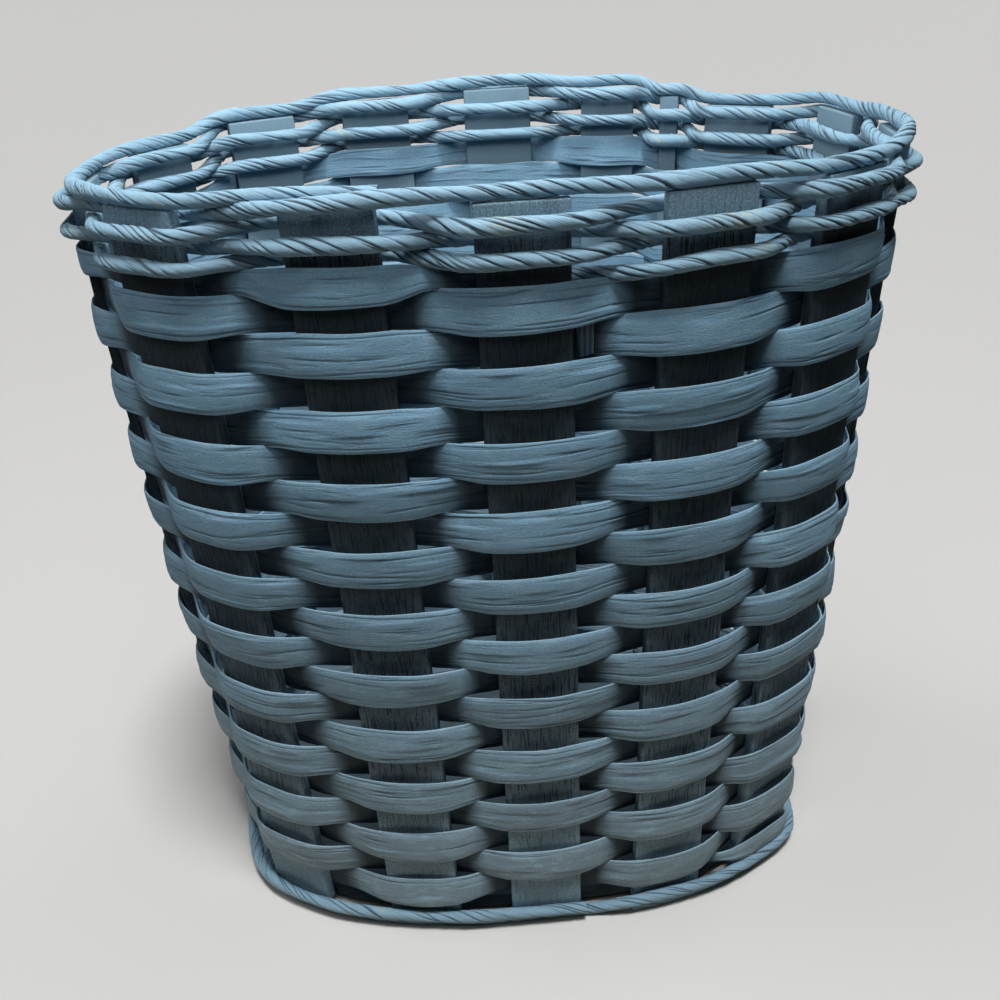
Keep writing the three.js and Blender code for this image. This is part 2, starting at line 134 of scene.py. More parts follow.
# Wide soft suns: degrees up, degrees to the right of the front, width in degrees, strength
SUNS = {
    "overhead": (76, 18, 14, 3.3),
    "left side": (24, -105, 30, 0.7),
    "right side": (24, 125, 30, 0.4),
}

# Square soft lamps that look down: place, width, degrees of tilt to the far wall, power
PANELS = {
    "over the basket": ((0.004, -0.02, 0.62), 0.2, 0, 0.5),
    "into the basket": ((-0.02, -0.035, 0.375), 0.09, 50, 0.16),
    "before the rim": ((-0.06, -0.30, 0.5), 0.15, 38, 0.26),
}

# Strength of the even light from all round, and the plain colour seen behind the floor
EVEN_LIGHT = 0.03
BACKDROP = (0.66, 0.655, 0.645, 1)

# The camera, measured from the perspective of the basket: place, yaw, pitch and roll in radians, and
# lens and film in millimetres
CAMERA_PLACE = (-0.01335, -0.3780, 0.3283)
CAMERA_TURN = (0.0376, 0.4735, -0.0561)
CAMERA_LENS, CAMERA_FILM = 41.17, 36


def srgb(*screen):
    """A colour as picked on screen, 0 to 255, turned to the linear numbers that shaders use."""
    shares = (c / 255 for c in screen)
    return tuple(c / 12.92 if c <= 0.04045 else ((c + 0.055) / 1.055) ** 2.4 for c in shares)


class BasketSizes(bpy.types.PropertyGroup):
    """Sizes of the basket's pieces."""

    def length(description, default):
        return bpy.props.FloatProperty(
            description=description, default=default, unit="LENGTH", precision=4)

    rim_half_length: length("Middle of the wall at the rim, along X", 0.127)
    rim_half_depth: length("Middle of the wall at the rim, along Y", 0.086)
    foot_half_length: length("Middle of the wall at the foot, along X", 0.114)
    foot_half_depth: length("Middle of the wall at the foot, along Y", 0.073)
    squareness: bpy.props.FloatProperty(description="2 is an ellipse, more is squarer", default=2.4)
    stake_top: length("Height of the stakes' upper ends", 0.2635)
    seat: length("Play between pieces that touch", 0.0003)
    ribbon_height: length("Full height of the flat ribbon over a stake", 0.0134)
    ribbon_nip: length("Height of the ribbon where two rows cross", 0.0118)
    ribbon_thickness: length("Thickness of the folded paper ribbon", 0.0012)
    ribbon_bow: length("How far the ribbon stands off the middle of a stake", 0.0016)
    row_climb: length("Height gained by the ribbon in one turn", 0.01165)
    rope_diameter: length("Twisted paper rope", 0.0044)
    rope_climb: length("Height gained by the rim rope in one turn", 0.0045)
    rope_lay: length("Length of rope in which its creases go once round", 0.026)


class BasketColours(bpy.types.PropertyGroup):
    """Paint, what shows through it, and painted shade and highlight."""

    def colour(description, default):
        return bpy.props.FloatVectorProperty(
            description=description, default=default, subtype="COLOR", size=3, min=0, max=1)

    ribbon: colour("Paint on the flat ribbon", srgb(134, 178, 206))
    ribbon_low: colour("Greyer paint towards the foot", srgb(127, 151, 165))
    # Painted shade down the ribbon's creases, besides darker mottles and grain
    ribbon_crease: colour("Paint down in the creases", srgb(62, 84, 98))
    # Painted shade: this dark colour is laid where the ribbon and rope dip behind a stake, and along the
    # foot rope
    thin_paint: colour("Paper and wood where little paint reached", srgb(32, 44, 52))
    # Painted highlight on the ribbon's rolled edges, and pale flecks on ribbon, rope and slats
    ribbon_edge: colour("Paint on the rolled edges", srgb(166, 200, 218))
    rope: colour("Paint on the twisted rope", srgb(142, 181, 204))
    # Painted shade: the dark colour down the rope's twist
    rope_crease: colour("Paint down in the twist", srgb(52, 71, 87))
    rope_bare: colour("Paper where the paint has worn off", srgb(184, 188, 158))
    stake: colour("Thin paint on the wooden stakes", srgb(118, 147, 164))
    stake_grain: colour("Dark pores along the wood", srgb(38, 50, 53))
    # Painted shade in the windows between the ribbon's rows, and dark flecks
    bare_wood: colour("Dark wood that little paint reached", srgb(32, 43, 49))
    floor: colour("Plain floor and backdrop", (0.52, 0.515, 0.505))


# Noise and paths


def wander(seed, positions, spacing):
    """Smooth random line through random values at even spacing, between about -1 and 1."""
    t = positions / spacing
    low, high = math.floor(t.min()) - 2, math.ceil(t.max()) + 3
    knots = np.random.default_rng(seed).uniform(-1, 1, high - low + 1)
    whole = np.floor(t).astype(int)
    f, i = t - whole, whole - low
    a, b, c, d = knots[i - 1], knots[i], knots[i + 1], knots[i + 2]
    return b + 0.5 * f * (c - a + f * (2 * a - 5 * b + 4 * c - d + f * (3 * (b - c) + d - a)))


def outline(half_length, half_depth, squareness, steps=1440):
    """Plan oval as x, y and the share of its length travelled, from the middle of the front."""
    angle = -math.pi / 2 + np.linspace(0, 2 * math.pi, steps + 1)
    c, s = np.cos(angle), np.sin(angle)
    x = half_length * np.sign(c) * np.abs(c) ** (2 / squareness)
    y = half_depth * np.sign(s) * np.abs(s) ** (2 / squareness)
    way = np.concatenate([[0], np.cumsum(np.hypot(np.diff(x), np.diff(y)))])
    return x, y, way / way[-1]


class Wall:
    """The middle line of the basket's wall and the stakes that stand in it.

    A place is a share of the way round, as in STAKES."""

    def __init__(self, sizes):
        self.sizes = sizes
        self.foot = outline(sizes.foot_half_length, sizes.foot_half_depth, sizes.squareness)
        self.rim = outline(sizes.rim_half_length, sizes.rim_half_depth, sizes.squareness)
        self.stakes = []
        for name, place, width, thickness in STAKES:
            along = np.zeros(2)
            for z in (STAKE_FOOT, sizes.stake_top):
                along += self.direction(place, z, 0.004)
            along /= np.linalg.norm(along)
            self.stakes.append({
                "name": name, "place": place, "width": width, "thickness": thickness,
                "along": along, "out": np.array([along[1], -along[0]]),
            })

    def direction(self, place, z, reach):
        """Direction along the wall, taken over a reach to both sides."""
        step = self.point(place + reach, z) - self.point(place - reach, z)
        return step / np.linalg.norm(step)

    def point(self, place, z):
        """The even wall's x and y at a place and height."""
        place = place % 1.0
        ends = []
        for oval, half, flattening in (
                (self.foot, self.sizes.foot_half_length, FOOT_FLATTENING),
                (self.rim, self.sizes.rim_half_length, RIM_FLATTENING)):
            x, y = (np.interp(place, oval[2], oval[k]) for k in (0, 1))
            past = max(0, abs(x) / half - END_START) / (1 - END_START)
            x -= math.copysign(1, x) * half * past ** 2 * flattening[0 if x > 0 else 1]
            ends.append(np.array([x, y]))
        share = (z - WALL_FOOT) / (self.sizes.stake_top - WALL_FOOT)
        shift = (PLAN_SHIFT_SHARE * self.sizes.rim_half_length, 0)
        return shift + ends[0] + (ends[1] - ends[0]) * share

    def unevenness(self, place, z):
        """Rise of the wall, further rise of what is woven, and push outwards."""
        place = (place + 0.25) % 1.0 - 0.25
        rise, pushed_up, out = (np.interp(place, RIM_SHAPE[0], row) * MM for row in RIM_SHAPE[1:])
        share = max(z, 0) / self.sizes.stake_top
        drawn_in = MM * np.interp(place, *FOOT_DRAWN_IN)
        out = out * share ** 7 - drawn_in * max(1 - share, 0) ** 5
        return rise * share ** 2, pushed_up * share ** 3, out

    def stake(self, crossing):
        """The stake at a crossing."""
        return self.stakes[crossing % COUNT]

    def beside(self, stake, z, across, out, woven=False):
        """A point of the uneven wall, across and outwards from the middle line of a stake."""
        rise, pushed_up, push = self.unevenness(stake["place"], z)
        p = self.point(stake["place"], z) + stake["along"] * across + stake["out"] * (out + push)
        return np.array([p[0], p[1], z + rise + (pushed_up if woven else 0)])

    def reach(self, crossing, direction, run):
        """Share of the way to the next stake taken by the stretch that lies on this one."""
        here, there = self.stake(crossing), self.stake(crossing + direction)
        middle = (STAKE_FOOT + self.sizes.stake_top) / 2
        gap = self.point(here["place"], middle) - self.point(there["place"], middle)
        return (here["width"] / 2 + run) / np.linalg.norm(gap)

    def edges(self, first, last, run):
        """Both edges of each stake that a strand passes: the stake, the way across, the number."""
        for crossing in range(first, last + 1):
            stake = self.stake(crossing)
            for direction in (-1, 1):
                number = crossing + direction * self.reach(crossing, direction, run)
                yield stake, direction * (stake["width"] / 2 + run), number

    def woven(self, first, last, side, height, half_thickness, run, bow):
        """Knots of a strand that goes in front of and behind the stakes in turn.

        Each knot is x, y, z, number along the weave and 1 on a stake or 0 between two. side gives 1
        where the strand is outside, and bow is how far it stands off the middle of a stake."""
        knots = []
        for crossing in range(first, last + 1):
            stake = self.stake(crossing)
            half = stake["width"] / 2 + run
            offset = side(crossing) * (stake["thickness"] / 2 + self.sizes.seat + half_thickness)
            swell = side(crossing) * bow if stake["width"] > BOWING_WIDTH else 0
            for direction in range(0 if crossing == first else -1, 1 if crossing == last else 2):
                past = direction * self.reach(crossing, direction, run) if direction else 0
                out = offset + (0 if direction else swell)
                p = self.beside(stake, height(crossing + past), direction * half, out, True)
                knots.append([*p, crossing + past, 1, crossing])
        full = []
        for here, after in zip(knots, knots[1:] + [None]):
            full.append(here)
            if after is not None and after[5] != here[5]:
                middle = [(a + b) / 2 for a, b in zip(here, after)]
                bent = middle[2] - (height(here[3]) + height(after[3])) / 2
                middle[2], middle[4] = height(middle[3]) + bent, 0
                full.append(middle)
        return np.array(full)[:, :5]


def flowing(knots, step, soften):
    """A smooth strand through knots, sampled evenly, with bends rounded over a soften length.

    The first three columns are its place. Returns the samples and how far along each one is."""
    knots = np.asarray(knots, float)
    t = np.concatenate([[0], np.cumsum(np.linalg.norm(np.diff(knots[:, :3], axis=0), axis=1))])
    slope = np.empty_like(knots)
    slope[1:-1] = (knots[2:] - knots[:-2]) / (t[2:] - t[:-2])[:, None]
    slope[0] = (knots[1] - knots[0]) / (t[1] - t[0])
    slope[-1] = (knots[-1] - knots[-2]) / (t[-1] - t[-2])
    at = np.linspace(0, t[-1], max(int(t[-1] / step), 2) + 1)
    i = np.clip(np.searchsorted(t, at, side="right") - 1, 0, len(t) - 2)
    h = (t[i + 1] - t[i])[:, None]
    f = ((at - t[i]) / h[:, 0])[:, None]
    samples = (
        (2 * f ** 3 - 3 * f ** 2 + 1) * knots[i] + (f ** 3 - 2 * f ** 2 + f) * h * slope[i]
        + (3 * f ** 2 - 2 * f ** 3) * knots[i + 1] + (f ** 3 - f ** 2) * h * slope[i + 1])
    reach = int(3 * soften / step) + 1
    kernel = np.exp(-0.5 * (np.arange(-reach, reach + 1) * step / soften) ** 2)
    kernel /= kernel.sum()
    padded = np.pad(samples, ((reach, reach), (0, 0)), mode="edge")
    blurred = np.stack([np.convolve(column, kernel, "valid") for column in padded.T], 1)
    ease = np.minimum(1, np.minimum(at, t[-1] - at) / (4 * soften))[:, None]
    return samples + (blurred - samples) * ease, at


def frames(points):
    """Level outward and upward directions at each sample of a strand."""
    along = np.gradient(points, axis=0)
    along /= np.linalg.norm(along, axis=1)[:, None]
    out = np.cross(along, (0, 0, 1))
    out /= np.linalg.norm(out, axis=1)[:, None]
    return out, np.cross(out, along)


def rings_round(points, out, up, outward, upward):
    """Rings of points, each so far outward and upward of a strand's samples."""
    return points[:, None] + out[:, None] * outward[..., None] + up[:, None] * upward[..., None]


# Meshes


def clear_selection():
    """Nothing selected, in object mode."""
    if bpy.context.object and bpy.context.object.mode != "OBJECT":
        bpy.ops.object.mode_set(mode="OBJECT")
    bpy.ops.object.select_all(action="DESELECT")


def add_object(name, data):
    """A new object in the scene."""
    obj = bpy.data.objects.new(name, data)
    bpy.context.scene.collection.objects.link(obj)
    return obj


def context_object(name):
    """The object just added, named."""
    obj = bpy.context.object
    obj.name = obj.data.name = name
    return obj


def tidy_normals(obj, angle=40):
    """Faces turned outwards, and smooth shading between faces that meet under an angle."""
    clear_selection()
    obj.select_set(True)
    bpy.context.view_layer.objects.active = obj
    bpy.ops.object.mode_set(mode="EDIT")
    bpy.ops.mesh.select_all(action="SELECT")
    bpy.ops.mesh.normals_make_consistent(inside=False)
    bpy.ops.object.mode_set(mode="OBJECT")
    bpy.ops.object.shade_smooth_by_angle(angle=math.radians(angle))


def ease_edges(obj, width):
    """Sharp edges rounded over a width."""
    bevel = obj.modifiers.new("eased edges", "BEVEL")
    bevel.width = width
    bevel.segments = 3
    bevel.limit_method = "ANGLE"
    bpy.ops.object.modifier_apply(modifier=bevel.name)


def loft(name, rings, caps, uv, **shades):
    """A closed skin over rings of points (ring, point, xyz), with end caps given as faces.

    uv gives the map's place of each ring and of each point of a ring, with one more where the ring
    closes. Each shade is a number kept at every point, for the material."""
    count, around = rings.shape[:2]
    ring = np.arange(count - 1)[:, None] * around
    here = np.arange(around)
    after = (here + 1) % around
    quads = np.stack([ring + here, ring + after, ring + around + after, ring + around + here], -1)
    ends = caps + [[(count - 1) * around + k for k in reversed(cap)] for cap in caps]
    mesh = bpy.data.meshes.new(name)
    mesh.from_pydata(rings.reshape(-1, 3).tolist(), [], quads.reshape(-1, 4).tolist() + ends)
    layer = mesh.uv_layers.new(name="strand")
    corners = np.zeros((len(mesh.loops), 2))
    u, v = uv
    i = np.repeat(np.arange(count - 1), around)
    k = np.tile(here, count - 1)
    sides = np.array([[u[i], v[k]], [u[i], v[k + 1]], [u[i + 1], v[k + 1]], [u[i + 1], v[k]]])
    corners[:4 * len(i)] = sides.transpose(2, 0, 1).reshape(-1, 2)
    layer.data.foreach_set("uv", corners.ravel())
    for title, values in shades.items():
        attribute = mesh.attributes.new(title, "FLOAT", "POINT")
        attribute.data.foreach_set("value", values.ravel())
    mesh.validate()
    obj = add_object(name, mesh)
    tidy_normals(obj, 50)
    return obj


def fold_caps(n):
    """End faces of a flat strand, whose ring is n points over its face and n back under it."""
    return [[j, j + 1, 2 * n - 2 - j, 2 * n - 1 - j] for j in range(n - 1)]


def finish_piece(obj, material, slot, *nodes):
    """Gives a piece its material and body, and says which frame nodes it stands for; its slot is not
    used.
    """
    obj.data.materials.clear()
    obj.data.materials.append(material)
    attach(obj, "root")
    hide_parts(*nodes)


# Materials


class Value:
    """A shader socket on which sums can be written."""

    def __init__(self, finish, socket):
        self.finish = finish
        self.socket = socket

    def sums(operation, turned=0):
        """A method that adds a node for one operation, with its two terms turned round or not."""
        def method(self, other):
            return self.finish.node(
                "Math", {"operation": operation}, {turned: self, 1 - turned: other})
        return method

    __add__, __radd__ = sums("ADD"), sums("ADD", 1)
    __sub__, __rsub__ = sums("SUBTRACT"), sums("SUBTRACT", 1)
    __mul__, __rmul__ = sums("MULTIPLY"), sums("MULTIPLY", 1)
    at_most, at_least = sums("MINIMUM"), sums("MAXIMUM")


class Finish:
    """A node material being put together."""

    def __init__(self, name, shine=0.5):
        self.material = bpy.data.materials.new(name)
        self.material.use_nodes = True
        self.tree = self.material.node_tree
        self.tree.nodes.clear()
        self.shader = self.tree.nodes.new("ShaderNodeBsdfPrincipled")
        output = self.tree.nodes.new("ShaderNodeOutputMaterial")
        self.tree.links.new(self.shader.outputs[0], output.inputs[0])
        self.shader.inputs["Specular IOR Level"].default_value = shine

    def put(self, socket, value):
        """Gives a socket a link, a colour or a number."""
        if isinstance(value, Value):
            self.tree.links.new(value.socket, socket)
        elif hasattr(value, "__len__") and len(value) == 3 and socket.type == "RGBA":
            socket.default_value = (*value, 1)
        else:
            socket.default_value = value

    def node(self, kind, settings=None, inputs=None, output=0):
        """One output of a new node, whose settings are made before its inputs."""
        node = self.tree.nodes.new("ShaderNode" + kind)
        for key, value in (settings or {}).items():
            if key == "ramp":
                while len(node.color_ramp.elements) < len(value):
                    node.color_ramp.elements.new(0.5)
                for element, (position, grey) in zip(node.color_ramp.elements, value):
                    element.position = position
                    element.color = (grey, grey, grey, 1)
            else:
                setattr(node, key, value)
        for key, value in (inputs or {}).items():
            self.put(node.inputs[key], value)
        return Value(self, node.outputs[output])

    def mix(self, factor, first, second):
        """The first colour at factor 0, the second at 1."""
        return self.node("Mix", {"data_type": "RGBA"}, {0: factor, 6: first, 7: second}, 2)

    def coats(self, colour, *coats):
        """A colour under coats of others, each given as how much it covers and its colour."""
        for cover, over in coats:
            colour = self.mix(cover, colour, over)
        return colour

    def ramp(self, value, *stops):
        """Greys between stops, each a position and a grey."""
        return self.node("ValToRGB", {"ramp": stops}, {"Fac": value})

    def noise(self, place, factors, scale, detail, roughness, distortion=0):
        """Noise over a place that is first multiplied along and across, so that it is drawn out."""
        place = self.node("VectorMath", {"operation": "MULTIPLY"}, {0: place, 1: (*factors, 1)})
        return self.node("TexNoise", {}, {
            "Vector": place, "Scale": scale, "Detail": detail, "Roughness": roughness,
            "Distortion": distortion})

    def map(self, title):
        """The piece's own map, counted in tenths of a metre."""
        return self.node("UVMap", {"uv_map": title})

    def shade(self, title):
        """A number kept on the mesh, such as the painted shade in its creases or how far it is left
        without painted shade.
        """
        return self.node("Attribute", {"attribute_name": title}, output=2)

    def wear(self, colour, roughness, height, strength, depth):
        """The finished material, with a height pressed into it."""
        bump = self.node("Bump", {}, {"Height": height, "Strength": strength, "Distance": depth})
        for title, value in (("Base Color", colour), ("Roughness", roughness), ("Normal", bump)):
            self.put(self.shader.inputs[title], value)
        return self.material


def paint_on_ribbon(paint):
    """Paint on creased paper: wrinkles along the ribbon, painted shade in the creases, painted highlight
    on the rolled edges.

    Painted shade darkens it where a strand dips behind another, and it is greyer towards the foot."""
    f = Finish("paint_on_ribbon", 0.3)
    place = f.map("strand")
    cloud = f.noise(place, (0.5, 1.2), 9, 4, 0.6)
    crumple = f.noise(place, (1.6, 4.2), 7, 2, 0.5, 0.5)
    wrinkle = f.noise(place, (1, 7), 6, 3, 0.5, 0.6)
    fine = f.noise(place, (13, 28), 8, 4, 0.7)
    hollow = f.shade("hollow")
    # Painted shade in the creases and along the wrinkles' lines
    crease = f.ramp(wrinkle, (0.3, 1), (0.34, 0))
    dark = (hollow.at_least(0) * 0.95 + crease * 0.3).at_most(1)
    # Painted highlight on the rolled edges, from the negative values of the crease shade
    edge = (hollow * -1).at_least(0)
    body = f.coats(
        paint.ribbon,
        # Greyer towards the foot
        (f.shade("dusty"), paint.ribbon_low),
        (cloud * 0.2, paint.ribbon_crease),
        (f.ramp(crumple, (0.5, 0), (0.75, 0.4)), paint.ribbon_edge),
        (f.ramp(fine, (0.3, 0.35), (0.5, 0)), paint.ribbon_crease),
        (f.ramp(fine, (0.52, 0), (0.72, 0.4)), paint.ribbon_edge),
        # Painted highlight on the rolled edges
        (edge * 0.35, paint.ribbon_edge),
        # Painted shade in the creases, lighter towards the foot
        (dark * (0.85 - 0.3 * f.shade("dusty")), paint.ribbon_crease),
        # Painted shade where the ribbon dips behind a stake
        ((1 - f.shade("sprayed")) * 0.92, paint.thin_paint))
    height = f.ramp(wrinkle, (0.3, 0), (0.42, 1)) * 0.5 + crumple * 0.8 + fine * 1.1
    return f.wear(body, 0.62 + 0.2 * fine, height, 0.4, 0.0005)


def paint_on_rope(paint):
    """Paint on twisted paper: painted shade down the twist and where it dips behind a stake, a few spots
    worn to bare paper.
    """
    f = Finish("paint_on_rope", 0.4)
    place = f.map("strand")
    cloud = f.noise(place, (1, 1), 2.4, 4, 0.6)
    fibre = f.noise(place, (2.2, 9), 6, 5, 0.6, 0.5)
    speckle = f.noise(f.node("TexCoord", output=3), (1, 1), 900, 3, 0.7)
    hollow = f.shade("hollow")
    worn = f.ramp(f.noise(place, (1, 1), 3.1, 2, 0.5), (0.63, 0), (0.7, 1)).at_least(f.shade("worn"))
    worn = worn * f.ramp(speckle, (0.5, 0), (0.58, 1)) * (1 - hollow)
    pressed = f.ramp(fibre, (0.36, 1), (0.42, 0))
    body = f.coats(
        paint.rope,
        (cloud * 0.55, tuple(c * 0.8 for c in paint.rope)),
        (f.ramp(fibre, (0.45, 0), (0.7, 0.4)), paint.ribbon_edge),
        (worn * 0.85, paint.rope_bare),
        # Painted shade where the rope dips behind a stake, and along the foot rope
        ((1 - f.shade("sprayed")) * 0.8, paint.thin_paint),
        # Painted shade down the grooves of the twist and in pressed creases
        ((hollow + pressed * 0.45).at_most(0.9), paint.rope_crease))
    return f.wear(body, 0.5 + 0.25 * fibre, fibre * 1.4 + speckle * 0.25, 0.6, 0.0005)


def paint_on_wood(paint):
    """Thin paint that sinks into long dark pores of the wood, with painted shade on the slats' outsides.
    """
    f = Finish("paint_on_wood", 0.3)
    place = f.map("grain")
    long_grain = f.noise(place, (60, 2.2), 6, 5, 0.62, 0.25)
    pores = f.noise(place, (27, 1.7), 6, 4, 0.66)
    cloud = f.noise(place, (1, 1), 7, 4, 0.6)
    streak = f.ramp(long_grain, (0.36, 1), (0.5, 0))
    pit = f.ramp(pores, (0.41, 1), (0.47, 0))
    # Painted shade on the slats' outsides, none on their insides
    slat_shade_and_rope_girth = 1 - f.shade("sprayed")
    speckle = f.noise(place, (30, 24), 6, 3, 0.75)
    rough = f.ramp(f.shade("sprayed") - 0.5, (0.55, 1), (0.75, 0.2))
    body = f.coats(
        paint.stake,
        (cloud * 0.7, tuple(c * 0.76 for c in paint.stake)),
        (f.ramp(speckle, (0.5, 0), (0.62, 0.4)) * rough, paint.ribbon_edge),
        (f.ramp(speckle, (0.34, 0.4), (0.46, 0)) * rough, paint.bare_wood),
        # The grain and pores show darker where painted shade lies
        (streak * (0.12 + 0.5 * slat_shade_and_rope_girth), paint.stake_grain),
        # Painted shade in the windows between the rows
        (slat_shade_and_rope_girth * 0.9, paint.bare_wood),
        (pit * (0.3 + 1.3 * slat_shade_and_rope_girth), paint.stake_grain))
    height = long_grain * 0.6 + pores * 0.8 + speckle * 0.3
    return f.wear(body, 0.66 + 0.2 * pores, height, 0.6, 0.0004)


# Pieces


class Basket:
    """What the operators share."""

    bl_options = {"REGISTER", "UNDO"}

    def execute(self, context):
        self.sizes = context.scene.basket_sizes
        self.colours = context.scene.basket_colours
        self.wall = Wall(self.sizes)
        self.build(context)
        return {"FINISHED"}

    def material(self, make):
        """A material that is made once and shared."""
        return bpy.data.materials.get(make.__name__) or make(self.colours)


def risen(value, start, length):
    """0 up to the start, 1 from a length after it, and even in between."""
    return min(max((value - start) / length, 0), 1)


def row_centre(sizes, number):
    """Height of the middle of an evenly laid row of ribbon."""
    turns = (number - RIBBON_START) / COUNT
    return FIRST_ROW + sizes.row_climb * turns - ROW_CLOSING * turns * turns


def rope_height(sizes, number):
    """Height of the middle of the woven rope."""
    return sizes.stake_top - ROPE_BELOW_TOP - sizes.rope_climb * (ROPE_LAST_WOVEN - number) / COUNT


def row_boundary(sizes, number):
    """Height of the line between one row and the row under it.

    The first turn grows out of the board's top and the last runs out under the rim rope."""
    play, overlap = 0.0003, 0.0004

    def regular(n):
        return (row_centre(sizes, n) + row_centre(sizes, n - COUNT)) / 2

    second = RIBBON_START + COUNT
    if number < second:
        start = BOARD_TOP + play
        return start + (regular(second) - start) * (number - RIBBON_START) / COUNT
    if number > RIBBON_END:
        underside = rope_height(sizes, number - RIBBON_END + ROPE_START) - sizes.rope_diameter / 2
        return min(regular(number), underside + overlap)
    return regular(number)


class BASKET_OT_stakes(Basket, bpy.types.Operator):
    """Add the painted slats that stand round the board."""

    bl_idname = "basket.stakes"
    bl_label = "Stakes"

    def build(self, context):
        material = self.material(paint_on_wood)
        for index, stake in enumerate(self.wall.stakes):
            obj = self.slat(index, stake)
            finish_piece(obj, material, "painted_stake", stake["name"])

    def slat(self, index, stake):
        """One slat: a block given its size, cut across for its length, with eased edges."""
        length, top, cuts = self.sizes.stake_top - STAKE_FOOT, self.sizes.stake_top, 40
        clear_selection()
        bpy.ops.mesh.primitive_cube_add(size=1)
        obj = context_object(stake["name"] + "_slat")
        bpy.ops.transform.resize(value=(stake["width"], stake["thickness"], length))
        bpy.ops.object.transform_apply(location=False, rotation=False, scale=True)
        ease_edges(obj, 0.0006)
        bpy.ops.object.mode_set(mode="EDIT")
        for cut in range(1, cuts):
            bpy.ops.mesh.select_all(action="SELECT")
            bpy.ops.mesh.bisect(plane_co=(0, 0, (cut / cuts - 0.5) * length), plane_no=(0, 0, 1))
        bpy.ops.object.mode_set(mode="OBJECT")
        mesh = obj.data
        local = np.zeros(len(mesh.vertices) * 3)
        mesh.vertices.foreach_get("co", local)
        local = local.reshape(-1, 3)
        height = local[:, 2] + length / 2 + STAKE_FOOT
        wavy = 0.0002 * wander(index + 10, height, 0.03)
        placed = np.zeros_like(local)
        for n, (across, inward, _) in enumerate(local):
            placed[n] = self.wall.beside(stake, height[n], across + wavy[n] * np.sign(across), -inward)
        # Painted shade on the outside of each slat, by height; the inside gets none, and fewer flecks
        heights, reached = zip(*SLAT_UNSHADED, *((top - down, share) for down, share in SLAT_UNSHADED_TOP))
        smooth_inside, inside = 1.3, local[:, 1] > stake["thickness"] * 0.4
        unshaded_layer = mesh.attributes.new("sprayed", "FLOAT", "POINT")
        unshaded_layer.data.foreach_set(
            "value", np.where(inside, smooth_inside, np.interp(height, heights, reached)))
        grain = mesh.uv_layers.new(name="grain")
        corners = np.zeros((len(mesh.loops), 2))
        vertex = np.zeros(len(mesh.loops), int)
        mesh.loops.foreach_get("vertex_index", vertex)
        corners[:, 0] = (local[vertex, 0] + local[vertex, 1] * 0.9) * 10 + index * 1.7
        corners[:, 1] = local[vertex, 2] * 10 + index * 3.1
        grain.data.foreach_set("uv", corners.ravel())
        mesh.vertices.foreach_set("co", placed.ravel())
        mesh.update()
        tidy_normals(obj)
        return obj


class BASKET_OT_board(Basket, bpy.types.Operator):
    """Add the oval board that closes the bottom."""

    bl_idname = "basket.board"
    bl_label = "Base board"

    def build(self, context):
        points, inset = 120, 0.0023
        clear_selection()
        bpy.ops.mesh.primitive_circle_add(vertices=points, radius=1, fill_type="NGON")
        obj = context_object("base_board_oval")
        mesh = obj.data
        for k, vertex in enumerate(mesh.vertices):
            place = k / points
            along = self.wall.direction(place, STAKE_FOOT, 0.002)
            p = self.wall.point(place, STAKE_FOOT)
            out = self.wall.unevenness(place, STAKE_FOOT)[2] - inset
            vertex.co = (p[0] + along[1] * out, p[1] - along[0] * out, BOARD_BOTTOM)
        bpy.ops.object.mode_set(mode="EDIT")
        bpy.ops.mesh.select_all(action="SELECT")
        bpy.ops.mesh.extrude_region_move(
            TRANSFORM_OT_translate={"value": (0, 0, BOARD_TOP - BOARD_BOTTOM)})
        bpy.ops.object.mode_set(mode="OBJECT")
        ease_edges(obj, 0.0008)
        grain = mesh.uv_layers.new(name="grain")
        for loop in mesh.loops:
            co = mesh.vertices[loop.vertex_index].co
            grain.data[loop.index].uv = (co.y * 10 + co.z * 6, co.x * 10)
        tidy_normals(obj)
        finish_piece(obj, self.material(paint_on_wood), "painted_board", "base_board")


def ribbon_creases(seed, along, across):
    """Height of the long creases of a folded paper ribbon, in metres, and the painted shade that darkens
    them.

    Some are pressed in, others are the edge of a ply that lies on the next one, and one runs beside
    each rolled edge."""
    lift = np.zeros((len(along), len(across)))
    dark = np.zeros_like(lift)
    rng = np.random.default_rng(seed)
    for j in range(18):
        home = rng.uniform(-1, 1)
        centre = home + 0.32 * wander(seed * 31 + j, along, 0.03)
        strength = np.clip(1.7 * wander(seed * 47 + j, along, 0.014) - 0.5, 0, 1)[:, None]
        width = rng.uniform(0.03, 0.045)
        gap = (across - centre[:, None]) / width
        shape = np.exp(-gap ** 2)
        if j % 3 == 0:
            lift += 0.0002 * strength * np.tanh(gap * rng.choice([-1, 1]))
            dark += 0.6 * strength * shape
        else:
            lift -= rng.uniform(0.00015, 0.0003) * strength * shape
            dark += 0.9 * strength * shape
    for j, home in enumerate((-0.8, 0.8)):
        centre = home + 0.08 * wander(seed * 53 + j, along, 0.02)
        strength = np.clip(0.45 + 0.9 * wander(seed * 59 + j, along, 0.024), 0, 1)[:, None]
        shape = np.exp(-((across - centre[:, None]) / 0.032) ** 2)
        lift -= 0.00018 * strength * shape
        dark += 0.9 * strength * shape
    return lift, np.clip(dark, 0, 1)


